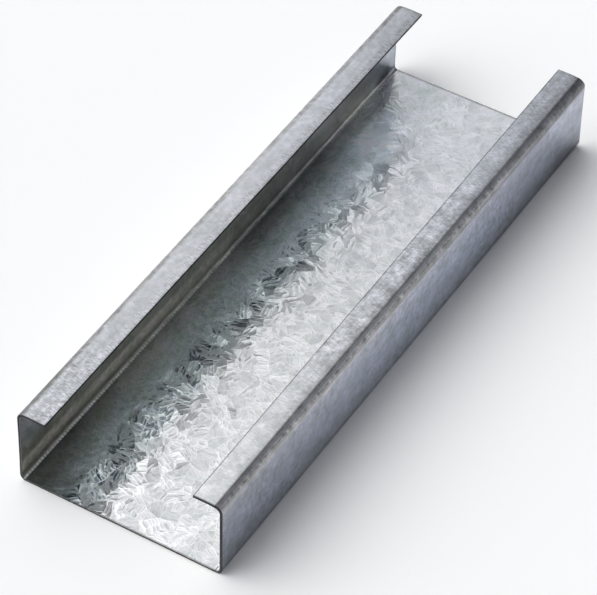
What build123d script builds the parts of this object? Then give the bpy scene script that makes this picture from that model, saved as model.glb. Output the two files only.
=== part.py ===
from build123d import *
import os

# A cut length of cold-formed wall stud: one strip of galvanized sheet steel, roll formed
# into a C with a flat web, two flanges and two stiffening lips turned back in.
# It lies on its web with the open side up and its length along Y. The origin is on the
# underside of the web, midway across it and midway along it.

# Driving dimensions, in millimetres. The widths are taken over the outer faces.
web_width = 101.6
flange_width = 41.3
lip_width = 14.3
stud_length = 314.0
sheet = 1.15
web_bend_inner_radius = 1.8
lip_bend_inner_radius = 2.8
slit_edge_radius = 0.2


def strip_face(depth):
    """One face of the bent strip seen end on, as a line from lip tip to lip tip.

    depth is how far the face lies under the outer one: nothing for the outer face, the
    sheet's thickness for the inner one. Both faces turn each bend about the same centre.
    """
    side = web_width / 2 - depth
    top = flange_width - depth
    tip = web_width / 2 - lip_width
    web_bend = web_bend_inner_radius + sheet - depth
    lip_bend = lip_bend_inner_radius + sheet - depth
    corners = [(-tip, top), (-side, top), (-side, depth), (side, depth), (side, top), (tip, top)]
    return FilletPolyline(*corners, radius=[lip_bend, web_bend, web_bend, lip_bend])


def strip_section():
    """The strip's cut end, from one slit edge round to the other."""
    outer_face = strip_face(0)
    inner_face = strip_face(sheet)
    left_slit = Line(inner_face @ 0, outer_face @ 0)
    right_slit = Line(outer_face @ 1, inner_face @ 1)
    section = make_face([outer_face, right_slit, inner_face, left_slit])
    # The four corners nearest the middle of the opening are those of the two slit edges.
    slit_corners = section.vertices().sort_by(lambda corner: abs(corner.X))[:4]
    return fillet(slit_corners, slit_edge_radius)


# Plane.XZ looks along +Y, so half the length goes to each side of the origin.
stud = extrude(Plane.XZ * strip_section(), amount=stud_length / 2, both=True)

os.makedirs("parts", exist_ok=True)
export_step(stud, "parts/stud.step")
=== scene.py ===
# %% [markdown]
# # A galvanized steel stud
# The object is a short cut length of a wall stud. A mill dips a steel strip in molten zinc,
# and as the zinc freezes it grows the feathery crystals called spangle. Rolls then fold the
# strip into a C: a wide web, two flanges and two narrow lips. A saw cuts it to length.
# We follow the same order: a flat strip, the folding, the cut ends, and then the zinc.
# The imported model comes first, because it says where everything is and how large it is.

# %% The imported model
import math
import bpy
import numpy as np
from mathutils import Matrix, Vector


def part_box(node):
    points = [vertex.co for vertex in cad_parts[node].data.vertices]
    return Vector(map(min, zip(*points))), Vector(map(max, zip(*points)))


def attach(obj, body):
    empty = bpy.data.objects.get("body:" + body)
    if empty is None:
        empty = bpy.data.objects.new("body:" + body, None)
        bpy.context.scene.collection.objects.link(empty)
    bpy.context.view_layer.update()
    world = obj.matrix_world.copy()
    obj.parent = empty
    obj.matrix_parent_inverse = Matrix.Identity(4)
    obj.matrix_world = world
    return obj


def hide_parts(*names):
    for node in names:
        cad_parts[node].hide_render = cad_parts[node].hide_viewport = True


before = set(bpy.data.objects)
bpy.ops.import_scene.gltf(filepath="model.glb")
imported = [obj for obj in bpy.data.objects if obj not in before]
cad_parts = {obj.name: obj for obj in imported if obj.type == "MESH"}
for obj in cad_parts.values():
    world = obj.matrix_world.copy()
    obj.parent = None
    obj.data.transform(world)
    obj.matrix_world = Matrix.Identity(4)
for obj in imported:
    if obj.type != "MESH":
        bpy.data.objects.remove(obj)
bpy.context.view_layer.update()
low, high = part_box("stud")
web_width = high[0] - low[0]
flange_width = high[2] - low[2]
stud_length = high[1] - low[1]
print(f"web {web_width * 1000:.1f}, flange {flange_width * 1000:.1f}, length {stud_length * 1000:.1f} mm")

# %% [markdown]
# ## The camera
# A camera far away with a long lens sees parallel edges stay nearly parallel, as they do here.
# One could aim it by eye with a Track To constraint. Writing its three axes down keeps the
# view exact: four numbers place it, the way round the object, the height above the horizon,
# a small roll, and the distance to the point on the web that the middle of the picture shows.

# %% The camera
azimuth = math.radians(30.35)
elevation = math.radians(44.81)
roll = math.radians(1.54)
distance = 1.5687
aim = Vector((-0.0078, -0.0001, 0.0))

back = Vector((math.sin(azimuth) * math.cos(elevation), -math.cos(azimuth) * math.cos(elevation),
               math.sin(elevation)))
level_right = Vector((math.cos(azimuth), math.sin(azimuth), 0.0))
level_up = back.cross(level_right)
right = math.cos(roll) * level_right + math.sin(roll) * level_up
up = math.cos(roll) * level_up - math.sin(roll) * level_right
lens = bpy.data.cameras.new("camera")
lens.sensor_fit = "HORIZONTAL"
lens.sensor_width = 36.0
lens.lens = 210.8
lens.clip_start = 0.1
lens.clip_end = 100.0
camera = bpy.data.objects.new("camera", lens)
turn = Matrix((right, up, back)).transposed()
camera.matrix_world = Matrix.Translation(aim + distance * back) @ turn.to_4x4()
bpy.context.scene.collection.objects.link(camera)
bpy.context.scene.camera = camera
print("camera at", [round(c, 3) for c in camera.location])

# %% [markdown]
# ## Folding a flat strip
# Blender could model the C with extrusions and bevels, but the rolls never see a C: they see
# a flat strip that turns a little more at each stand. A fold in numpy says the same thing.
# Going out from the middle of the web, the sheet's heading stays level, turns 90 degrees at
# the web's bend, stays upright, turns 90 degrees more at the lip's bend, and stays level.
# The distance across the flat strip is kept, so the zinc's pattern can run round the bends.

# %% The runs of the folded strip
sheet = 0.00115
lip_width = 0.0143
web_bend_inner_radius = 0.0018
lip_bend_inner_radius = 0.0028
web_bend_radius = web_bend_inner_radius + sheet / 2
lip_bend_radius = lip_bend_inner_radius + sheet / 2
quarter = math.pi / 2

flat_lengths = np.array([
    web_width / 2 - web_bend_radius - sheet / 2,
    flange_width - web_bend_radius - lip_bend_radius - sheet,
    lip_width - lip_bend_radius - sheet / 2,
])
web_arc = web_bend_radius * quarter
lip_arc = lip_bend_radius * quarter
run_lengths = np.array([flat_lengths[0], web_arc, flat_lengths[1], lip_arc, flat_lengths[2]])
run_curvature = np.array([0.0, 1 / web_bend_radius, 0.0, 1 / lip_bend_radius, 0.0])
run_turn = run_lengths * run_curvature
run_start = np.concatenate(([0.0], np.cumsum(run_lengths)[:-1]))
run_heading = np.concatenate(([0.0], np.cumsum(run_turn)[:-1]))
run_chord = run_lengths * np.sinc(run_turn / (2 * np.pi))
run_middle = run_heading + run_turn / 2
run_x = np.concatenate(([0.0], np.cumsum(run_chord * np.cos(run_middle))[:-1]))
run_z = sheet / 2 + np.concatenate(([0.0], np.cumsum(run_chord * np.sin(run_middle))[:-1]))
half_strip = run_lengths.sum()
print(f"strip {2000 * half_strip:.1f} mm wide before bending")


# %% The fold
def fold(across, out):
    """Where the rolls put a point of the flat strip.

    across is measured over the strip from the middle of the web, out through the sheet from
    its mid thickness towards the outer face. Within a run the sheet turns at a steady rate,
    so the point lies a chord away from the run's start: the length of the arc times
    sin(half the turn) / (half the turn), in the direction halfway between the two headings.
    The outer face lies to the right of the heading.
    """
    side = np.where(across < 0, -1.0, 1.0)
    reach = np.abs(across)
    run = np.clip(np.searchsorted(run_start, reach, side="right") - 1, 0, len(run_start) - 1)
    arc = reach - run_start[run]
    turned = arc * run_curvature[run]
    chord = arc * np.sinc(turned / (2 * np.pi))
    heading = run_heading[run] + turned
    x = run_x[run] + chord * np.cos(run_heading[run] + turned / 2) + out * np.sin(heading)
    z = run_z[run] + chord * np.sin(run_heading[run] + turned / 2) - out * np.cos(heading)
    return side * x, z


tip_x, tip_z = fold(np.array([half_strip]), np.zeros(1))
print(f"the lip's edge comes to {1000 * tip_x[0]:.1f} mm out and {1000 * tip_z[0]:.1f} mm up")

# %% [markdown]
# ## What the rolls leave behind
# A rolled sheet is never quite flat. The web crowns a little, the flanges bow in, the free
# edges of the lips wave, and the skin sags where the lip's bend ends, all by a tenth or two of
# a millimetre. Nobody would see that on paint, but zinc is half a mirror, and the reflections
# bend. A saw also drags the last few tenths of a millimetre of sheet along with it. A noise
# displacement would do this anywhere. Written over the strip, each hump keeps to its own flat.
# All of it goes inwards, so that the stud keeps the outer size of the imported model.

# %% The small waves of a rolled sheet
web_crown = 0.00012
crown_period = 0.083
flange_bow = 0.00018
bow_period = 0.117
lip_wave = 0.00022
lip_period = 0.061
bend_sag = [0.0002, 0.0003]
bend_sag_reach = [0.002, 0.0027]
sag_before_lip = 0.001
saw_drag = 0.00007
saw_drag_reach = 0.00035


def slow_wave(along, period, start):
    """A wave between 0 and 1 along the stud: half of 1 + sine, with a second, slower sine mixed in."""
    quick_part = np.sin(2 * np.pi * (along / period + start))
    slow_part = np.sin(2 * np.pi * (along / (2.7 * period) + 3 * start))
    return 0.5 + 0.3 * quick_part + 0.2 * slow_part


def rolled_in(across, along):
    """How far the sheet lies inside its nominal place, in metres, over the flat strip.

    Each flat gets a hump that is zero at its bends: 1 minus the square of the place between
    them, from -1 to 1. The lip's hump grows with the square of the way to its free edge
    instead. Each hump is scaled by a slow wave along the stud. A bell curve adds the sag at
    the lip's bend, and an exponential the saw's drag at the ends.
    """
    reach = np.abs(across)
    left = across < 0
    on_web = np.clip(reach / flat_lengths[0], 0, 1)
    on_flange = np.clip((reach - run_start[2]) / flat_lengths[1], 0, 1) * 2 - 1
    on_lip = np.clip((reach - run_start[4]) / flat_lengths[2], 0, 1)
    crown = web_crown * (1 - on_web ** 2) * slow_wave(along, crown_period, 0.2)
    bow = flange_bow * (1 - on_flange ** 2) * slow_wave(along, bow_period, np.where(left, 0.45, 0.1))
    wave = lip_wave * on_lip ** 2 * slow_wave(along, lip_period, np.where(left, 0.7, 0.35))
    from_bend = (reach - run_start[4] + sag_before_lip) / np.where(left, *bend_sag_reach)
    sag = np.where(left, *bend_sag) * np.exp(-from_bend ** 2)
    from_end = stud_length / 2 - np.abs(along)
    return crown + bow + wave + sag + saw_drag * np.exp(-from_end / saw_drag_reach)


tried_across, tried_along = np.meshgrid(np.linspace(-half_strip, half_strip, 400),
                                        np.linspace(-stud_length / 2, stud_length / 2, 400))
print(f"the waves reach {1000 * rolled_in(tried_across, tried_along).max():.2f} mm at most")

# %% [markdown]
# ## The strip as a mesh
# Two parameters cover the whole skin of the sheet. One goes round the strip's thin section:
# along the outer face, round one slit edge, back along the inner face, round the other. The
# other goes along the stud. Every corner is computed at once on that grid, folded, and
# handed to the mesh. The saw cuts close it with one row of faces across the thickness.
# A Solidify modifier could thicken a plain sheet, but it would not round the slit edges.
# Rows stand close together in the bends, where the shape turns, and near the cut ends.

# %% Steps round the strip's thin section
slit_round = 0.0002
cut_break = 0.00008
steps_per_run = [30, 10, 20, 12, 10]
slit_steps = 3

flat_of_run = [*run_lengths[:-1], flat_lengths[2] - slit_round]
across_runs = [start + length * np.arange(steps) / steps
               for start, length, steps in zip(run_start, flat_of_run, steps_per_run)]
slit_angle = np.linspace(0, quarter, slit_steps + 1)
half_across = np.concatenate(across_runs + [half_strip - slit_round + slit_round * np.sin(slit_angle)])
half_out = sheet / 2 - slit_round + slit_round * np.cos(slit_angle)
half_out = np.concatenate((np.full(len(half_across) - len(half_out), sheet / 2), half_out))
outer_across = np.concatenate((-half_across[:0:-1], half_across))
outer_out = np.concatenate((half_out[:0:-1], half_out))
round_across = np.concatenate((outer_across, outer_across[::-1]))
round_out = np.concatenate((outer_out, -outer_out[::-1]))
print(f"{len(round_across)} points round the section")

# %% Rows along the stud, and the folded skin
row_spacing = 0.0021
end_margin = 0.0015

near_end = np.array([0.0, cut_break, 0.0002, 0.0004, 0.0008])
rows_inside = int(round((stud_length - 2 * end_margin) / row_spacing))
inside = np.linspace(-stud_length / 2 + end_margin, stud_length / 2 - end_margin, rows_inside)
along_rows = np.concatenate((-stud_length / 2 + near_end, inside, stud_length / 2 - near_end[::-1]))
inset_rows = np.zeros(len(along_rows))
inset_rows[[0, -1]] = cut_break

inset = inset_rows[:, None]
along_grid = along_rows[:, None] + np.zeros(len(round_across))
on_rounding = np.clip((np.abs(round_across) - half_strip) / slit_round + 1, 0, 1)
across_grid = round_across - np.sign(round_across) * inset * on_rounding
out_grid = np.sign(round_out) * (np.abs(round_out) - inset)
x_grid, z_grid = fold(across_grid, out_grid - rolled_in(across_grid, along_grid))
skin = np.stack((x_grid, along_grid, z_grid), axis=-1)
print(f"grid of {skin.shape[0]} rows of {skin.shape[1]} points")

# %% [markdown]
# ## Faces, and the flat strip as a UV map
# A face joins four neighbours on the grid, in the order that turns its front outwards. The
# UV map is the flat strip itself in metres, as it came from the mill, so that a pattern on it
# keeps its size and runs round the bends. The inner face is moved aside in the map, because
# the two sides of a real strip do not carry the same crystals. The slit edges and the saw
# cuts get a second material, the bare steel.

# %% Faces and map
rows, columns = skin.shape[:2]
outer_columns = len(outer_across)
column = np.arange(columns)
row = np.arange(rows - 1)[:, None]
first = row * columns + column
second = row * columns + (column + 1) % columns
side_faces = np.stack((first, first + columns, second + columns, second), axis=-1).reshape(-1, 4)
step = np.arange(outer_columns - 1)
front_cut = np.stack((step, step + 1, columns - 2 - step, columns - 1 - step), axis=-1)
back_cut = front_cut[:, ::-1] + (rows - 1) * columns
faces = np.concatenate((side_faces, front_cut, back_cut))

inner_shift = 0.5
shift = np.where(column < outer_columns, 0.0, inner_shift)
unrolled = np.stack((across_grid + shift, along_grid), axis=-1).reshape(-1, 2)
slit = np.abs(round_across[column]) > half_strip - slit_round
on_slit = slit & slit[(column + 1) % columns]
cut_material = np.concatenate((np.tile(on_slit, rows - 1), np.ones(2 * len(front_cut), bool)))
print(f"{len(faces)} faces, {cut_material.sum()} of them bare steel")


# %% A mesh from arrays
def surface(name, points, quads):
    """A mesh object from an array of places and an array of four corners a face, shaded smooth."""
    mesh = bpy.data.meshes.new(name)
    mesh.vertices.add(len(points))
    mesh.vertices.foreach_set("co", points.astype(np.float32).ravel())
    mesh.loops.add(quads.size)
    mesh.loops.foreach_set("vertex_index", quads.astype(np.int32).ravel())
    mesh.polygons.add(len(quads))
    mesh.polygons.foreach_set("loop_start", np.arange(0, quads.size, 4, dtype=np.int32))
    mesh.polygons.foreach_set("use_smooth", np.ones(len(quads), bool))
    mesh.update(calc_edges=True)
    piece = bpy.data.objects.new(name, mesh)
    bpy.context.scene.collection.objects.link(piece)
    return piece


stud_sheet = surface("stud_sheet", skin.reshape(-1, 3), faces)
stud_sheet.data.polygons.foreach_set("material_index", cut_material.astype(np.int32))
flat_map = stud_sheet.data.uv_layers.new(name="unrolled")
flat_map.uv.foreach_set("vector", unrolled[faces.ravel()].astype(np.float32).ravel())
stud_sheet.data.set_sharp_from_angle(angle=math.radians(35))
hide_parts("stud")
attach(stud_sheet, "root")
print(f"{stud_sheet.name} has {len(stud_sheet.data.edges)} edges")

# %% The steel inside the skin
# The cross product of a face's diagonals is twice its area, and points out of its front.
# The sum of the pyramids over every face is the volume, and is positive for a skin that
# faces outwards.
corners = skin.reshape(-1, 3)[faces]
twice_area = np.cross(corners[:, 2] - corners[:, 0], corners[:, 3] - corners[:, 1])
print(f"{(corners[:, 0] * twice_area).sum() / 6 * 1e9:.0f} cubic mm of steel")

# %% [markdown]
# ## Small helpers for materials
# A material is a graph of nodes. Building one by hand takes a line for the node, a line for
# each setting and a line for each wire. One helper makes a node in the tree that we are
# working on, sets its settings, and either sets each input or wires it, so that a recipe
# reads from top to bottom. The others are named after what they do to a number or colour.

# %% Helpers for nodes
def add(kind, inputs=(), **settings):
    """A node of that kind. inputs maps an input's name or number to a value or to an output."""
    made = tree.nodes.new(kind)
    for name, value in settings.items():
        setattr(made, name, value)
    for name, value in dict(inputs).items():
        if isinstance(value, bpy.types.NodeSocket):
            tree.links.new(value, made.inputs[name])
        else:
            made.inputs[name].default_value = value
    return made


def new_material(name):
    """A material with a metal shader on its output. Its tree becomes the one we work on."""
    global tree
    material = bpy.data.materials.new(name)
    material.use_nodes = True
    tree = material.node_tree
    tree.nodes.clear()
    shader = add("ShaderNodeBsdfPrincipled")
    add("ShaderNodeOutputMaterial", {"Surface": shader.outputs["BSDF"]})
    return material, shader


def tell(what):
    """Prints how far the tree has grown."""
    print(f"{what}: {len(tree.nodes)} nodes so far")


zinc, metal = new_material("galvanized_zinc")
tell("a new material")


# %% Helpers for numbers
def calc(operation, *values):
    """One step of arithmetic on numbers."""
    return add("ShaderNodeMath", enumerate(values), operation=operation).outputs[0]


def calc3(operation, first, second):
    """One step of arithmetic on vectors. SCALE takes a vector and a number."""
    place = "Scale" if operation == "SCALE" else 1
    return add("ShaderNodeVectorMath", {0: first, place: second}, operation=operation).outputs[0]


def times(first, *others):
    """The product of several numbers."""
    for other in others:
        first = calc("MULTIPLY", first, other)
    return first


def invert(mask):
    """1 minus the mask."""
    return calc("SUBTRACT", 1.0, mask)


def between(value, low_in, high_in, low_out, high_out, smooth=False):
    """Takes value from one range to another, held at its ends."""
    kind = "SMOOTHSTEP" if smooth else "LINEAR"
    named = {"Value": value, "From Min": low_in, "From Max": high_in, "To Min": low_out, "To Max": high_out}
    return add("ShaderNodeMapRange", named, interpolation_type=kind).outputs[0]


def graded(mask, at_none, at_full):
    """One number where the mask is 0, another where it is 1."""
    return between(mask, 0.0, 1.0, at_none, at_full)


def band(value, rise, top, fall, end):
    """0 below rise, 1 from top to fall and 0 again past end, easing in between."""
    up = between(value, rise, top, 0.0, 1.0, smooth=True)
    down = between(value, fall, end, 1.0, 0.0, smooth=True)
    return times(up, down)


tell("helpers for numbers")


# %% Helpers that mix
def mix_number(share, first, second):
    """From the first number to the second. Inputs 2 and 3 are the node's pair of numbers."""
    return add("ShaderNodeMix", {0: share, 2: first, 3: second}, data_type="FLOAT").outputs[0]


def mix_colour(share, first, second):
    """From the first colour to the second, each three numbers or an output.

    Inputs 6 and 7 and output 2 are the node's colours.
    """
    ends = [c if isinstance(c, bpy.types.NodeSocket) else (*c, 1.0) for c in (first, second)]
    return add("ShaderNodeMix", {0: share, 6: ends[0], 7: ends[1]}, data_type="RGBA").outputs[2]


def only_on(mask, factor):
    """A factor that holds on the mask, and is 1 elsewhere."""
    return mix_number(mask, 1.0, factor)


def swing(noise, depth, middle=1.0):
    """Stands at middle where a noise stands at a half, and swings by depth round it."""
    return calc("MULTIPLY_ADD", calc("SUBTRACT", noise, 0.5), depth, middle)


tell("helpers that mix")

# %% [markdown]
# ## Spangle
# Freezing zinc grows from seeds until the crystals meet, which is just what a Voronoi
# texture draws. Inside one crystal the metal grew as side by side feathers, all in that
# crystal's own direction. So we use two Voronoi textures: a coarse one for the crystals, and
# inside each crystal, turned by its own random angle and stretched, a fine one for the
# feathers. Each feather gets a slight tilt of its own and slopes away from its spine, so that
# at the edge of a reflection some feathers already mirror the bright side of the room and
# others still mirror the dark side. A picture of spangle painted on would miss just that.

# %% Sizes and tilts of the spangle
crystal_size = 6.5
feather_length = 4.6
feather_width = 1.35
feather_blend = 0.16
feather_tilt = 0.085
crystal_tilt = 0.055
steep_tilt = 0.06
spine_slope = 0.034
spine_reach = 0.4
bend_amount = 1.2
bend_scale = 0.18
shuffle = 40.0
crystal_share = 0.15
print(f"crystals {crystal_size} mm, feathers {feather_length} by {feather_width} mm")


# %% The crystals
def voronoi(at, scale, **settings):
    """Cells round random points of the flat strip."""
    return add("ShaderNodeTexVoronoi", {"Vector": at, "Scale": scale}, voronoi_dimensions="2D", **settings)


def turned(vector, angle, back=False):
    """A vector of the flat strip, turned by an angle or back by it."""
    return add("ShaderNodeVectorRotate", {"Vector": vector, "Angle": angle},
               rotation_type="Z_AXIS", invert=back).outputs[0]


def centred(colour):
    """A random colour as a vector between -1 and 1 on each axis."""
    return calc3("SUBTRACT", calc3("SCALE", colour, 2), (1, 1, 1))


place = calc3("SCALE", add("ShaderNodeUVMap", uv_map="unrolled").outputs[0], 1000)
bent = add("ShaderNodeTexNoise", {"Vector": place, "Scale": bend_scale, "Detail": 1, "Roughness": 0.5},
           noise_dimensions="2D")
wander = calc3("SCALE", calc3("SUBTRACT", bent.outputs["Color"], (0.5, 0.5, 0.5)), bend_amount)
spot = calc3("ADD", place, wander)
crystal = voronoi(spot, 1 / crystal_size)
crystal_edge = voronoi(spot, 1 / crystal_size, feature="DISTANCE_TO_EDGE").outputs["Distance"]
seed = add("ShaderNodeSeparateColor", {"Color": crystal.outputs["Color"]})
angle = times(seed.outputs[0], 2 * math.pi)
plumed = between(seed.outputs[1], 0.1, 0.4, 0.55, 1)
tell("crystals")

# %% The feathers in each crystal
from_seed = turned(calc3("SUBTRACT", spot, crystal.outputs["Position"]), angle)
stretched = calc3("MULTIPLY", from_seed, (1 / feather_length, 1 / feather_width, 0))
own_place = calc3("ADD", stretched, calc3("SCALE", crystal.outputs["Color"], shuffle))
feather = voronoi(own_place, 1, feature="SMOOTH_F1")
feather.inputs["Smoothness"].default_value = feather_blend
feather_edge = voronoi(own_place, 1, feature="DISTANCE_TO_EDGE").outputs["Distance"]
mixed = add("ShaderNodeSeparateColor", {"Color": feather.outputs["Color"]})
feather_luck, feather_hue, feather_tone = mixed.outputs[:3]
tell("feathers")

# %% Their tilt, tone and veins
from_spine = calc3("SUBTRACT", own_place, feather.outputs["Position"])
aside = add("ShaderNodeSeparateXYZ", {0: from_spine}).outputs["Y"]
slope = between(aside, -spine_reach, spine_reach, -spine_slope, spine_slope)
sloped = turned(add("ShaderNodeCombineXYZ", {"Y": slope}).outputs[0], angle, back=True)
own_tilt = calc3("SCALE", centred(feather.outputs["Color"]), feather_tilt)
feathers = calc3("SCALE", calc3("ADD", sloped, own_tilt), plumed)
steepness = calc("MULTIPLY_ADD", calc("POWER", seed.outputs[2], 4), steep_tilt, crystal_tilt)
shared_tilt = calc3("SCALE", centred(crystal.outputs["Color"]), steepness)
tilt = calc3("ADD", feathers, shared_tilt)

# A random number times 7, without its whole part, is as good as a new one.
shuffled = calc("FRACT", times(seed.outputs[0], 7))
tone = calc("MULTIPLY_ADD", feather_tone, 1 - crystal_share, times(shuffled, crystal_share))
feather_vein = between(feather_edge, 0.02, 0.2, 1, 0, smooth=True)
crystal_vein = between(crystal_edge, 0.01, 0.06, 1, 0, smooth=True)
veins = calc("MAXIMUM", times(feather_vein, plumed), crystal_vein)
tell("tilt, tone and veins")

# %% [markdown]
# ## Noises over the flat strip
# Nothing on real sheet is even. Six noises carry the unevenness, from a fine grain to clouds
# that drift slowly along the stud. Two of them are squeezed: one draws long faint streaks
# along the stud, the other draws ticks across it. Rolls do not slide evenly over the strip,
# they grip and let go, and that leaves rows of short ticks about a millimetre apart.

# %% Noises
streak_squeeze = (1.1, 0.05, 0)
tick_squeeze = (0.4, 2, 0)


def flat_noise(at, scale, detail, roughness=0.5):
    """A noise over the flat strip, about a half; scale is in features a millimetre."""
    named = {"Vector": at, "Scale": scale, "Detail": detail, "Roughness": roughness}
    return add("ShaderNodeTexNoise", named, noise_dimensions="2D").outputs[0]


grain = flat_noise(place, 1.5, 3)
mottle = flat_noise(place, 0.35, 3, 0.6)
clouds = flat_noise(place, 0.13, 3)
slow = flat_noise(place, 0.025, 1)
streaks = flat_noise(calc3("MULTIPLY", place, streak_squeeze), 1, 2)
ticks = flat_noise(calc3("MULTIPLY", place, tick_squeeze), 1, 1.5)
tell("noises")

# %% [markdown]
# ## Where we are on the strip
# The rolls press hardest on the outside of the flanges and lips. There the spangle is nearly
# ironed flat, and a fine, duller grain takes its place. One could paint such places by hand
# as a vertex colour. Here the way over the flat strip tells us where we are, in millimetres:
# the web ends 48 mm out, and the inner face has 500 mm added to it.
# Each mask is a number between 0 and 1 that later steps multiply with. Lengthwise numbers are
# counted from the middle of the stud, with the end near the camera at -157 mm.

# %% Places in millimetres
inner_shift_mm = 1000 * inner_shift
on_strip = add("ShaderNodeSeparateXYZ", {0: place})
inner_face = calc("GREATER_THAN", on_strip.outputs["X"], inner_shift_mm / 2)
outer_face = invert(inner_face)
across_mm = calc("SUBTRACT", on_strip.outputs["X"], times(inner_face, inner_shift_mm))
reach_mm = calc("ABSOLUTE", across_mm)
along_mm = on_strip.outputs["Y"]
half_long = 1000 * stud_length / 2
to_cut = calc("SUBTRACT", half_long, calc("ABSOLUTE", along_mm))
web_end, flange_start, flange_end, lip_start, strip_end = [1000 * v for v in (*run_start[1:], half_strip)]
print(f"web ends {web_end:.1f}, flange {flange_start:.1f} to {flange_end:.1f} mm from the middle")
print(f"lip {lip_start:.1f} to {strip_end:.1f} mm from the middle")


# %% Ways along and over the strip
def lengthwise(start, end, first, last, smooth=False):
    """Goes from first to last along the stud, between two places in mm from its middle."""
    return between(along_mm, start, end, first, last, smooth)


def crosswise(start, end, first, last, smooth=False):
    """Goes from first to last over the strip, from the left (negative) to the right."""
    return between(across_mm, start, end, first, last, smooth)


def outwards(start, end, first, last, smooth=False):
    """Goes from first to last with the distance from the strip's middle line, on both sides."""
    return between(reach_mm, start, end, first, last, smooth)


def stripe(line, rise, top, fall, end, over=reach_mm):
    """A band along the stud, whose four limits are counted outwards from a line on the strip."""
    return band(over, line + rise, line + top, line + fall, line + end)


tell("places")

# %% Masks of the flats
past_web = outwards(web_end, flange_start, 0, 1)
up_flange = outwards(flange_start, flange_end, 0, 1)
in_lip_bend = outwards(flange_end - 1.5, flange_end + 1.5, 0, 1)
on_lip = outwards(lip_start - 0.5, lip_start, 0, 1)
right_side = calc("GREATER_THAN", across_mm, 0)
left_side = calc("LESS_THAN", across_mm, 0)
off_lip = invert(on_lip)
on_web = times(invert(past_web), inner_face)
inner_flange = times(past_web, inner_face, off_lip)
outside_flange = times(outer_face, past_web, off_lip)
rubbed = times(past_web, graded(outer_face, 0.45, 1))
flange_middle = band(along_mm, -170, -10, 10, 150)
tell("flats")

# %% [markdown]
# ## The zinc's own colour
# Zinc is a pale, slightly blue grey. Crystals and feathers differ a little in tone, and
# the veins between them are paler. A single noise would give one of these. Mixing the tone
# and the veins of the spangle itself keeps colour and tilt on the same feathers.
# The crystals are worn away where the rolls rubbed, and show less towards the far end.

# %% Zinc of the web
grey_feather = (0.58, 0.595, 0.605)
pale_feather = (0.70, 0.705, 0.71)
vein_zinc = (0.86, 0.865, 0.86)
vein_strength = 0.45

left_over = calc("ADD", graded(rubbed, 1, 0.2), times(on_lip, 0.12))
kept = times(left_over, lengthwise(-half_long, half_long, 1.35, 0.7))
feather_zinc = mix_colour(swing(tone, left_over, 0.5), grey_feather, pale_feather)
web_zinc = mix_colour(times(veins, kept, vein_strength), feather_zinc, vein_zinc)
tell("web zinc")

# %% [markdown]
# ## Rolled zinc on the flanges and lips
# The outside of a flange was rubbed by the rolls. Its foot is painted darkest, painted shade
# that the flange mirrors from the floor, and higher up it is painted bluer and paler, a painted
# reflection of the room; the bend above it is painted a warmer grey, a painted reflection too.
# The hidden upper part inside is painted pale, so that the web mirrors it lighter: painted light.
# Each of these is one plain colour, and the masks decide where it holds.

# %% Zinc of the flanges and lips
# Painted shade and reflection: a dark foot, bluer and paler higher up, a warm grey bend.
foot_zinc = (0.37, 0.40, 0.445)
middle_zinc = (0.46, 0.50, 0.612)
upper_zinc = (0.55, 0.575, 0.655)
bend_zinc = (0.44, 0.43, 0.425)
inside_zinc = (0.60, 0.59, 0.55)
cool_lip = (0.545, 0.56, 0.585)
warm_lip = (0.555, 0.56, 0.565)
# Painted light: the zinc hidden under the lips is pale so that the web mirrors it lighter.
sheltered_zinc = (0.85, 0.85, 0.84)

lower_flange = mix_colour(between(up_flange, 0, 0.5, 0, 1), foot_zinc, middle_zinc)
flange_outside = mix_colour(between(up_flange, 0.5, 1, 0, 1), lower_flange, upper_zinc)
bent_outside = mix_colour(in_lip_bend, flange_outside, bend_zinc)
flange_zinc = mix_colour(inner_face, bent_outside, inside_zinc)
warmth = mix_number(right_side, lengthwise(-60, 120, 0, 0.6), lengthwise(-150, -20, 1, 0))
rolled_zinc = mix_colour(on_lip, flange_zinc, mix_colour(warmth, cool_lip, warm_lip))
zinc_colour = mix_colour(times(rubbed, 0.85), web_zinc, rolled_zinc)
sheltered = times(outwards(flange_start + 19, flange_start + 30, 0, 1, smooth=True),
                  lengthwise(-152, -120, 0, 1), inner_face)
tell("rolled zinc")

# %% [markdown]
# ## The line at the web's bend
# Just inside the web's bend runs a thin pale line that looks stitched, like a rope: a painted
# highlight along the bend, in steps. A row of tiny dents could be modelled, but each is
# only half a millimetre long. A sine along the stud draws the stitches, and a slow noise in
# its phase keeps them from being too even. The line is painted near white, made rough and
# hardly a metal. Above the line lies a thin painted shadow, and then a painted pale band of light.

# %% The stitched line and the pale band
# Painted highlight: the stitched line is painted near white. Painted light: the pale band.
rope_highlight_zinc = (0.95, 0.95, 0.93)
pale_zinc = (0.97, 0.95, 0.99)
stitch_length = 1.9
stitch_unevenness = 9

rope_line = times(stripe(web_end, -0.1, 0.7, 1.1, 1.9), inner_face, crosswise(-1, 1, 1, 0.1))
stitch_turn = calc("MULTIPLY_ADD", along_mm, 2 * math.pi / stitch_length, times(mottle, stitch_unevenness))
stitches = calc("MULTIPLY_ADD", calc("SINE", stitch_turn), 0.5, 0.5)
rope_stitch = times(rope_line, lengthwise(-100, 20, 1, 0.3))
stitched = calc("MULTIPLY_ADD", rope_stitch, 0.12, swing(stitches, rope_stitch))
rope_fade = only_on(rope_line, lengthwise(-60, 100, 1, 0.55))
above_rope = band(reach_mm, web_end + 1.5, web_end + 2.3, flange_start + 0.4, flange_start + 1.8)
rope_shadow = only_on(times(above_rope, inner_face), graded(flange_middle, 0.48, 0.76))

# Painted light: a pale band low on the inner flange.
pale_share = times(stripe(flange_start, 0.8, 4.4, 6.5, 10), inner_flange,
                   lengthwise(-60, 75, 1, 0), between(mottle, 0.3, 0.6, 0.55, 1))
zinc_colour = mix_colour(rope_line, zinc_colour, rope_highlight_zinc)
zinc_colour = mix_colour(sheltered, zinc_colour, sheltered_zinc)
zinc_colour = mix_colour(pale_share, zinc_colour, pale_zinc)
tell("stitched line")
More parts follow.
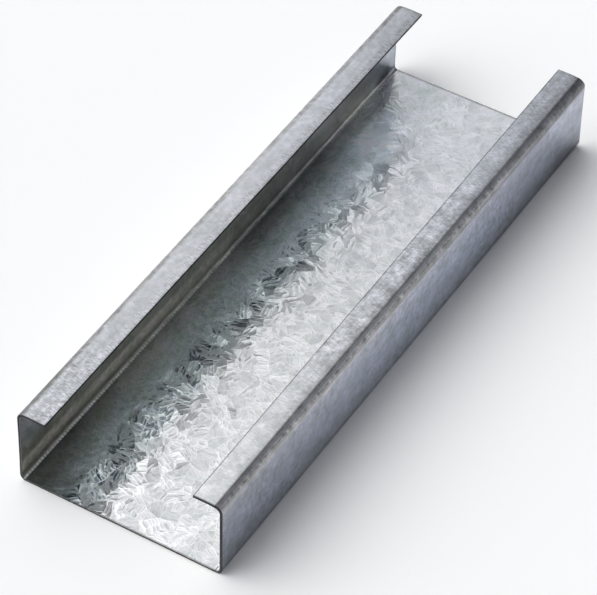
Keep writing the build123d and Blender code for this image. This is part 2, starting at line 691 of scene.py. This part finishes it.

# %% [markdown]
# ## Thin films, and what the web mirrors
# An oxide film as thin as the wavelength of light adds a breath of teal or violet. A thin
# film is also a setting of the metal shader, but as a gentle tint it can drift in clouds.
# Over the left part of the web the film is painted stronger, as a painted reflection tint.
# The left part of the web mirrors the inside of the left flange, and is painted cooler there,
# a painted reflection. The flange's far end is mirrored too, as a slanting line over the web:
# each millimetre across moves the mirrored end 1.72 mm along. Past that line the web is
# painted clear and neutral. A warm tint lies low on the inside of the flange, and its open
# end is painted bluer, a painted reflection of a bluer part of the room.

# %% Film and the painted cool reflection
mirror_slant = 1.72
teal = (0.975, 1.01, 0.985)
violet = (1.02, 0.99, 1.04)
white = (1, 1, 1)
cool_green = (0.92, 1.04, 1)
cool_blue = (0.93, 1.035, 1.05)

film = calc("ADD", between(clouds, 0.38, 0.62, 0, 0.7), times(feather_hue, 0.3))
# The film is painted stronger over the left of the web, a painted reflection tint.
film_depth = mix_number(rubbed, crosswise(-45, -15, 1.6, 0.45), 0.9)
film_depth = mix_number(on_lip, film_depth, 0.3)
film_colour = mix_colour(swing(film, film_depth, 0.5), teal, violet)

# The slanting line where the flange's far end is mirrored over the web; painted reflections follow it.
past_mirrored_end = calc("MULTIPLY_ADD", across_mm, mirror_slant, along_mm)
mirrors_flange = between(past_mirrored_end, 58, 76, 1, 0)
# Painted reflection: where the web mirrors the flange and its far end, it is painted cooler.
cool = times(on_web, crosswise(-26, -9, 1, 0), crosswise(-46, -36, 0.3, 1),
             lengthwise(20, 110, 1, 0.75), graded(mirrors_flange, 0.2, 1))
tint = mix_colour(cool, white, mix_colour(crosswise(-42, -28, 0, 1), cool_green, cool_blue))
tell("film")

# %% A warm tint low in the flange, the open far end and its corner
near_warm_tint = (1, 0.965, 0.82)
far_warm_tint = (1, 0.975, 0.89)
end_blue = (0.80, 0.84, 0.93)
distant_blue = (0.985, 1, 1.035)
corner_warmth = (1.035, 1, 0.94)

# A warm tint on the lower inside of the left flange, warmer near us.
warm_inner_tint = times(inner_flange, outwards(flange_start + 12, flange_start + 20, 1, 0),
              lengthwise(128, 145, 1, 0))
tint = mix_colour(warm_inner_tint, tint, mix_colour(lengthwise(-20, 110, 0, 1), near_warm_tint, far_warm_tint))
# Painted reflection: the open far end of the inner flange is painted bluer.
tint = mix_colour(times(inner_flange, lengthwise(125, 150, 0, 1)), tint, end_blue)
# Everything turns a little bluer towards the far end.
far_tint = mix_colour(lengthwise(-40, 120, 0, 1), white, distant_blue)
# Painted reflection: a warm tint where the web mirrors the flange near its far end.
warm_corner = times(lengthwise(95, 122, 0, 1), crosswise(-34, -25, 1, 0), on_web,
                    mirrors_flange)
far_tint = mix_colour(warm_corner, far_tint, corner_warmth)
tinted = calc3("MULTIPLY", calc3("MULTIPLY", zinc_colour, film_colour), calc3("MULTIPLY", tint, far_tint))
tell("dust")

# %% [markdown]
# ## Dark feathers
# Where the web's bright and dark reflections meet, a few feathers are painted dark: a painted
# reflection of the darkest corner of the room, which feathers standing that steep would mirror.
# A much larger tilt would do it, but it would scatter such feathers over the whole web. So a
# feather is painted dark where its own random number and the clouds agree, in a narrow strip,
# and more often towards the near end.

# %% Dark feathers
near_shard = (0.05, 0.075, 0.095)
far_shard = (0.04, 0.07, 0.07)
shard_edge = 0.06
shard_fade = 8

# Painted reflection: dark feathers in the strip where the web's reflections meet.
clustered = swing(clouds, 1.3, invert(feather_luck))
shard_start = lengthwise(-95, 0, 0.53, 0.70)
shard_fall = lengthwise(-95, -30, -17, -21)
shards = times(between(clustered, shard_start, calc("ADD", shard_start, shard_edge), 0, 0.85),
               band(across_mm, -33, -26, shard_fall, calc("ADD", shard_fall, shard_fade)),
               calc("MULTIPLY_ADD", veins, -0.5, 1), on_web, lengthwise(20, 110, 1, 0.1))
shard_colour = mix_colour(lengthwise(-60, 40, 0, 1), near_shard, far_shard)
tinted = mix_colour(shards, tinted, shard_colour)
tell("dark feathers")

# %% [markdown]
# ## Texture, and painted light and shade
# Every mark below is one factor near 1 that makes the zinc lighter or darker; many are painted
# light and shade. Their product scales the colour at the end. Layers of mixed colours would do
# as well, but factors may come in any order, and each can be taken out without touching the others.
# The first ones are the even texture: blotches, clouds, speckle, streaks and ticks. A lip
# carries more or less of it along its length, as the last stand of rolls gripped it or not.

# %% How much texture the lips carry
near_run = lengthwise(-125, -100, 1, 0, smooth=True)
left_texture = graded(near_run, 0.45, 1.2)
right_texture = times(lengthwise(-110, -10, 0.4, 1.25), lengthwise(10, 80, 1, 0.42))
texture = only_on(on_lip, mix_number(right_side, left_texture, right_texture))
by_slit = outwards(strip_end - 5, strip_end - 3, 0.15, 1, smooth=True)
left_ticks = calc("MAXIMUM", by_slit, near_run)
right_ticks = lengthwise(-110, -10, 0.45, 0.9)
lip_ticks = times(on_lip, mix_number(right_side, left_ticks, right_ticks))
tell("texture of the lips")

# %% Blotches, clouds, speckle, streaks and ticks
flange_clouds = mix_number(outside_flange, 0.3, 0.65)
cloud_depth = mix_number(times(on_lip, right_side), flange_clouds, texture)
speckle_depth = mix_number(rubbed, calc("MULTIPLY_ADD", cool, 0.45, 0.15), 0.25)
speckle_depth = mix_number(on_lip, speckle_depth, 0.16)
blotch_depth = times(calc("MULTIPLY_ADD", cool, 0.8, rubbed), between(slow, 0.35, 0.65, 0.5, 1.3), texture)
marks = [
    swing(mottle, blotch_depth),
    swing(clouds, cloud_depth),
    swing(grain, times(texture, speckle_depth)),
    swing(streaks, times(on_lip, texture, 0.34)),
    only_on(calc("MAXIMUM", lip_ticks, rope_line), between(ticks, 0.4, 0.6, 0.82, 1.15)),
    stitched, rope_fade, rope_shadow,
]
tell(f"{len(marks)} marks")

# %% [markdown]
# ## Marks on the web
# Painted shade darkens the corner of the web, most at the near end, and the web is painted a
# little darker far away. A strip of it mirrors the half lit wall beside the windows, and that
# reflection is painted lighter, brighter towards the far end; next to it lie painted soft
# shades of the flange and of its mirrored end. The world light gives the large share of this.
# The factors add painted light and shade that a simple room leaves out.

# %% Painted shade in the web's corner, and the web painted darker far away
# Painted shade in the left corner of the web.
corner_shade_reach = lengthwise(-115, -55, web_end - 16, web_end - 5)
corner_shade = times(band(reach_mm, corner_shade_reach, web_end, web_end, web_end + 0.5), left_side, inner_face)
corner_shade_depth = times(lengthwise(-130, -60, 0.72, 0.25, smooth=True), lengthwise(50, 100, 1, 0.45))
marks += [
    invert(times(corner_shade, corner_shade_depth)),
    # Painted shade: the web is painted lighter near us and darker far away.
    only_on(on_web, lengthwise(-150, 110, 1.04, 0.83)),
]
tell(f"{len(marks)} marks")

# %% The painted half lit strip and the painted shades of the web
# Painted reflection: a strip of the web painted lighter, the half lit wall it mirrors.
lit_start = lengthwise(-110, -60, -35, -43)
lit_end = lengthwise(-80, 10, -9, -17)
lit_strip = band(across_mm, lit_start, calc("ADD", lit_start, 6), calc("SUBTRACT", lit_end, 9), lit_end)
lit_depth = times(lengthwise(-60, 110, 0.18, 0.5), lengthwise(106, 132, 1, 0))
lit_depth = calc("MULTIPLY_ADD", band(along_mm, 85, 112, 118, 132), 0.45, lit_depth)

# Painted shade of the flange and of its mirrored end, lifted by painted light in the far corner.
far_shade = times(band(along_mm, -15, 35, 75, 112), crosswise(-42, -31, 1, 0), 0.5)
near_shade = times(lengthwise(-150, -120, 1, 0), band(across_mm, -47, -39, -31, -23), 0.5)
end_shade = times(between(past_mirrored_end, 66, 80, 0, 0.17), crosswise(-28, -16, 1, 0))
shade_depth = calc("ADD", calc("ADD", far_shade, near_shade), end_shade)
corner_light = times(lengthwise(112, 130, 0, 0.8), crosswise(-46, -43, 1, 0), mirrors_flange)
marks += [
    calc("MULTIPLY_ADD", times(lit_strip, on_web), lit_depth, 1),
    invert(times(calc("SUBTRACT", shade_depth, corner_light), on_web)),
]
tell(f"{len(marks)} marks")

# %% [markdown]
# ## Marks on the flanges
# Inside, the left flange is painted darker near us and lighter far away, with a painted soft
# shade low in the middle, a painted shade low at the far end and a dark patch just before its
# open end. Outside, the right flange is painted lighter along its middle and darker at its far
# end, a painted reflection, and its foot is painted darker, with a thin dark line of painted
# shade where it meets the floor.

# %% Inside the flanges
low_flange = times(inner_flange, outwards(flange_start + 9, flange_start + 16, 1, 0))
low_shade = times(low_flange, band(along_mm, 0, 18, 42, 65))
far_low = times(low_flange, lengthwise(108, 125, 0, 0.14))
# A dark patch just before the open end of the inner flange.
far_dark_patch = times(band(along_mm, 136, 144, 149, 153),
               outwards(flange_start + 1, flange_start + 6, 1, 0), inner_flange)
marks += [
    # Painted shade: the inner flange is darker near us and lighter far away.
    only_on(inner_flange, lengthwise(-20, 110, 0.91, 1.06)),
    calc("MULTIPLY_ADD", low_shade, -0.15, 1),
    invert(calc("MULTIPLY_ADD", far_dark_patch, 0.72, far_low)),
]
tell(f"{len(marks)} marks")

# %% Outside the flanges
# Painted light and shade: lighter along the middle, darker far away, a dark foot and a dark line at the
# floor.
outside_painted_light = times(graded(flange_middle, 0.87, 1.16), lengthwise(122, 148, 1, 0.76))
foot = times(between(up_flange, 0, 0.4, 1, 0, smooth=True), outside_flange)
foot_line = times(stripe(flange_start, -1.5, -0.5, 1, 2.8), outer_face)
marks += [
    only_on(outside_flange, outside_painted_light),
    invert(times(foot, lengthwise(20, 130, 0.1, 0.42))),
    only_on(foot_line, 0.68),
]
tell(f"{len(marks)} marks")

# %% [markdown]
# ## Marks on the lips and their bends
# The lips are painted brightest near us. The left one is painted darker towards its slit edge,
# and the right one beside its bend, both darker near the far end. On the bend itself a bright
# top is painted, a painted highlight, with a ragged dark band beside it and a thin dark line
# where the lip begins, both painted shade. Such a line could be modelled as a real crease, but
# it would be thinner than the sheet's own rounding, so a stripe of the colour serves. The dark
# band reads a distance that a noise has made ragged.

# %% The lips
# Painted light and shade along the lips.
slit_side = outwards(strip_end - 5, strip_end - 2.5, 0, 1, smooth=True)
left_fade = times(lengthwise(-150, -50, 0.86, 0.95),
                  only_on(slit_side, lengthwise(-120, 100, 1.06, 0.84)))
by_bend_end = lengthwise(0, 110, lip_start + 3.4, lip_start + 7)
by_bend = outwards(lip_start - 0.2, by_bend_end, 1, 0, smooth=True)
bend_dark = times(graded(flange_middle, 0.95, 0.72), lengthwise(40, 110, 1, 0.84))
right_fade = times(lengthwise(-150, 10, 1.2, 0.86), only_on(by_bend, bend_dark))
marks += [
    only_on(on_lip, mix_number(right_side, left_fade, right_fade)),
    # Darker towards the far end.
    only_on(on_lip, lengthwise(80, 135, 1, 0.82, smooth=True)),
]
tell(f"{len(marks)} marks")

# %% The bends of the lips
raggedness = 1.6

# Painted highlight on the bend's top; painted shade in a ragged band and a thin line.
ragged_mm = swing(mottle, raggedness, reach_mm)
bend_top = stripe(lip_start, -3.4, -2.3, -1.2, -0.5, over=ragged_mm)
top_light = mix_number(right_side, lengthwise(-150, 0, 0.66, 0.97), lengthwise(-20, 110, 2.05, 1.3))
dark_band_rise = lengthwise(-60, 120, flange_end + 0.4, flange_end - 1)
bend_dark_band = band(ragged_mm, dark_band_rise, calc("ADD", dark_band_rise, 0.9), lip_start - 3, lip_start - 2.3)
dark_band_depth = times(lengthwise(40, 140, 1, 0.75), graded(flange_middle, 0.68, 0.5))
lip_shade_line = stripe(lip_start, -1.2, -0.8, -0.3, 0.4)
shade_line_depth = mix_number(right_side, 0.86, graded(flange_middle, 0.48, 0.42))
marks += [
    only_on(bend_top, top_light),
    only_on(bend_dark_band, dark_band_depth),
    only_on(lip_shade_line, shade_line_depth),
]
tell(f"{len(marks)} marks")

# %% [markdown]
# ## Worn rims, and the product
# A slit or sawn rim loses its zinc first, and a dark line runs along it. Its width grows
# towards the far end, and it is darkest on the near right flange. Then all marks are
# multiplied into one shade, and the shade scales the colour.

# %% Worn rims and the product of the marks
worn_edge = mix_number(right_side, 0.95, 0.42)
worn_width = lengthwise(-half_long, half_long, 0.9, 1.6)
dark_rim = times(right_side, lengthwise(-1, 1, 1, 0))
rim_shade = mix_number(past_web, 0.42, mix_number(dark_rim, 0.7, 0.16))
marks += [
    only_on(outwards(strip_end - 0.8, strip_end - 0.3, 0, 1), worn_edge),
    between(to_cut, 0.1, worn_width, rim_shade, 1, smooth=True),
]
tree.links.new(calc3("SCALE", tinted, times(*marks)), metal.inputs["Base Color"])
tell(f"product of {len(marks)} marks")

# %% [markdown]
# ## How smooth the zinc is
# Roughness says how far a reflection is smeared. Feathers of spangle are nearly mirrors, a
# few of them much duller than their neighbours. Rubbed zinc is duller again, the pale band
# and the stitched line more so, and the sheltered zinc under the lips is like frosted glass.
# A haze lies on the left part of the web, thinner at its far end. All of these are roughness
# and not lighter paint, so they also look right where the stud turns to another light.

# %% Roughness, and where the zinc is hardly a metal
haze_fade = 7
outside_rough = 0.18
bend_rough = 0.3
inside_rough = 0.4
pale_rough = 0.85
rope_line_rough = 0.75
lip_rough = 0.46
sheltered_rough = 0.8

haze_end = lengthwise(-60, 110, -25, -12)
haze_top = lengthwise(95, 125, 0.37, 0.25)
haze = crosswise(calc("SUBTRACT", haze_end, haze_fade), haze_end, haze_top, 0, smooth=True)
shine = calc("MAXIMUM", between(feather_luck, 0.12, 0.38, 0.08, 0.3), haze)
outside = mix_number(in_lip_bend, outside_rough, bend_rough)
inside = mix_number(rope_line, mix_number(pale_share, inside_rough, pale_rough), rope_line_rough)
dull = mix_number(on_lip, mix_number(inner_face, outside, inside), lip_rough)
roughness = mix_number(sheltered, mix_number(rubbed, shine, dull), sheltered_rough)
tree.links.new(roughness, metal.inputs["Roughness"])
metallic = between(times(rope_stitch, stitches), 0.3, 0.9, 1, 0.35)
tree.links.new(metallic, metal.inputs["Metallic"])
tell("roughness")

# %% [markdown]
# ## Tilts and fine relief
# The tilts of the feathers go in as a normal map over the flat strip. A normal map holds a
# direction as a colour, where a half means no tilt, and its sides follow the UV map, so the
# tilt turns with the sheet round each bend. The fine grain, the ticks and the veins are real
# heights, so they go in as a bump on top of it. Feathers lie calmer at the far left.

# %% Tilt and bump
bump_height = 0.0001

calm = times(lengthwise(95, 125, 0, 0.6), crosswise(-24, -10, 1, 0))
ruffled = times(kept, crosswise(-17, -6, 1.25, 0.82), invert(calm))
shown_tilt = calc3("MULTIPLY", calc3("SCALE", tilt, ruffled), (-0.5, -0.5, 0))
facets = add("ShaderNodeNormalMap", {"Color": calc3("ADD", shown_tilt, (0.5, 0.5, 1))},
             space="TANGENT", uv_map="unrolled")
grain_height = times(grain, graded(rubbed, 0.07, 0.26), texture)
tick_height = calc("ADD", times(lip_ticks, 0.28), times(rope_line, 0.9))
vein_height = times(veins, kept, 0.15)
height = calc("MULTIPLY_ADD", ticks, tick_height, calc("ADD", grain_height, vein_height))
relief = add("ShaderNodeBump", {"Height": height, "Strength": 1, "Distance": bump_height,
                                "Normal": facets.outputs[0]})
tree.links.new(relief.outputs[0], metal.inputs["Normal"])
stud_sheet.data.materials.append(zinc)
tell("galvanized zinc")

# %% [markdown]
# ## The cut steel
# A saw or a slitting wheel goes through the zinc and shows the steel core. Bare steel is
# darker than zinc, and it browns within days. It has no direction of its own, so a noise in
# the object's coordinates is enough. The steel is darker towards the top.

# %% Bare cut steel
black_steel = (0.028, 0.026, 0.026)
brown_steel = (0.08, 0.068, 0.062)

cut_steel, metal = new_material("cut_steel")
steel_mm = calc3("SCALE", add("ShaderNodeTexCoord").outputs["Object"], 1000)
patches = add("ShaderNodeTexNoise", {"Vector": steel_mm, "Scale": 0.8, "Detail": 4})
browned = mix_colour(patches.outputs[0], black_steel, brown_steel)
above = add("ShaderNodeSeparateXYZ", {0: steel_mm}).outputs["Z"]
darker_higher_up = calc3("SCALE", browned, between(above, 1, 30, 1, 0.3))
tree.links.new(darker_higher_up, metal.inputs["Base Color"])
metal.inputs["Metallic"].default_value = 0.6
metal.inputs["Roughness"].default_value = 0.5
stud_sheet.data.materials.append(cut_steel)
tell("cut steel")

# %% [markdown]
# ## The studio
# The stud lies on a plain white floor that rises gently far away. The rise is a function of
# the distance alone, so a view from any side meets the same soft horizon.

# %% Floor
floor_gap = 0.0001
floor_reach = 7.5
floor_points_a_side = 121
rise_start = 5.0
rise_width = 1.2
rise_height = 1.4
floor_white = (0.96, 0.96, 0.96, 1.0)


def floor_height(x, y):
    """Flat out to rise_start, then up to rise_height by 3 t squared - 2 t cubed over rise_width."""
    t = np.clip((np.hypot(x, y) - rise_start) / rise_width, 0, 1)
    return rise_height * t * t * (3 - 2 * t) - floor_gap


spots = np.linspace(-floor_reach, floor_reach, floor_points_a_side)
floor_x, floor_y = np.meshgrid(spots, spots, indexing="xy")
floor_points = np.stack((floor_x, floor_y, floor_height(floor_x, floor_y)), axis=-1).reshape(-1, 3)
corner = np.arange(len(spots) - 1)[:, None] * len(spots) + np.arange(len(spots) - 1)
across_corner = corner + len(spots) + 1
floor_quads = np.stack((corner, corner + 1, across_corner, across_corner - 1), axis=-1).reshape(-1, 4)
floor = surface("floor", floor_points, floor_quads)
paper, shader = new_material("white_floor")
shader.inputs["Base Color"].default_value = floor_white
shader.inputs["Roughness"].default_value = 1.0
shader.inputs["Specular IOR Level"].default_value = 0.0
floor.data.materials.append(paper)
print(f"floor of {len(floor_quads)} faces")

# %% [markdown]
# ## The light
# The light is one broad soft source up on the left, like a bank of windows, with a second
# window behind us, and the other side of the room is dim. Metal shows what it mirrors: the
# windows make the web bright, and the dim side makes the flanges dark. Area lamps could
# stand there, but a world shader can hold the whole room, because it may answer with another
# brightness for each direction: a wall that ends the windows, faint colours of furniture, a
# ceiling darker than the walls and a low glow from the floor all round. And unlike a lamp it
# lights every other view of the stud in the same way.

# %% Parts of the room
dim_side = (0.155, 0.17, 0.19)
low_glow = (0.33, 0.31, 0.29)
window_light = (1.03, 1.03, 1.02)
near_light = (2.3, 2.3, 2.3)
green_things = (0.9, 1.03, 1)
red_things = (1.08, 0.97, 1.06)


def towards(left_of_back, above):
    """The direction so many degrees left of straight back and above the floor."""
    turn, rise = math.radians(left_of_back), math.radians(above)
    return (-math.sin(turn) * math.cos(rise), math.cos(turn) * math.cos(rise), math.sin(rise))


def soft_patch(looking, middle, full, none):
    """1 within full degrees of the middle, easing to 0 at none degrees from it."""
    facing = add("ShaderNodeVectorMath", {0: looking, 1: middle}, operation="DOT_PRODUCT")
    away = calc("ARCCOSINE", facing.outputs["Value"])
    return between(away, math.radians(full), math.radians(none), 1, 0, smooth=True)


world = bpy.data.worlds.new("studio")
bpy.context.scene.world = world
world.use_nodes = True
tree = world.node_tree
tree.nodes.clear()
left_windows = towards(70, 60)
rear_window = towards(125, 48)
print("windows towards", [round(v, 2) for v in left_windows], [round(v, 2) for v in rear_window])

# %% The room as a world shader
looking = add("ShaderNodeTexCoord").outputs["Generated"]
heading = add("ShaderNodeSeparateXYZ", {0: looking})
left_wall = between(heading.outputs["X"], 0.08, -0.17, 0, 1, smooth=True)
windows = times(soft_patch(looking, left_windows, 28, 62), left_wall)
by_us = soft_patch(looking, rear_window, 8, 55)
things = add("ShaderNodeTexNoise", {"Vector": looking, "Scale": 5, "Detail": 2}).outputs[0]
furnished = mix_colour(between(things, 0.35, 0.65, 0, 1), green_things, red_things)
low_down = between(heading.outputs["Z"], 0.05, 0.65, 1, 0, smooth=True)
ceiling = between(heading.outputs["Z"], 0.6, 0.8, 1, 0.35, smooth=True)
room = calc3("SCALE", calc3("MULTIPLY", dim_side, furnished), ceiling)
room = calc3("ADD", room, calc3("SCALE", low_glow, low_down))
room = calc3("ADD", room, calc3("SCALE", window_light, windows))
room = calc3("ADD", room, calc3("SCALE", near_light, by_us))
sky = add("ShaderNodeBackground", {"Color": room, "Strength": 1})
add("ShaderNodeOutputWorld", {"Surface": sky.outputs[0]})
tell("room")

# %% [markdown]
# ## Finish
# The view transform is the plain one, so that a colour of 1 is white in the picture.

# %% Finish
bpy.context.scene.view_settings.view_transform = "Standard"
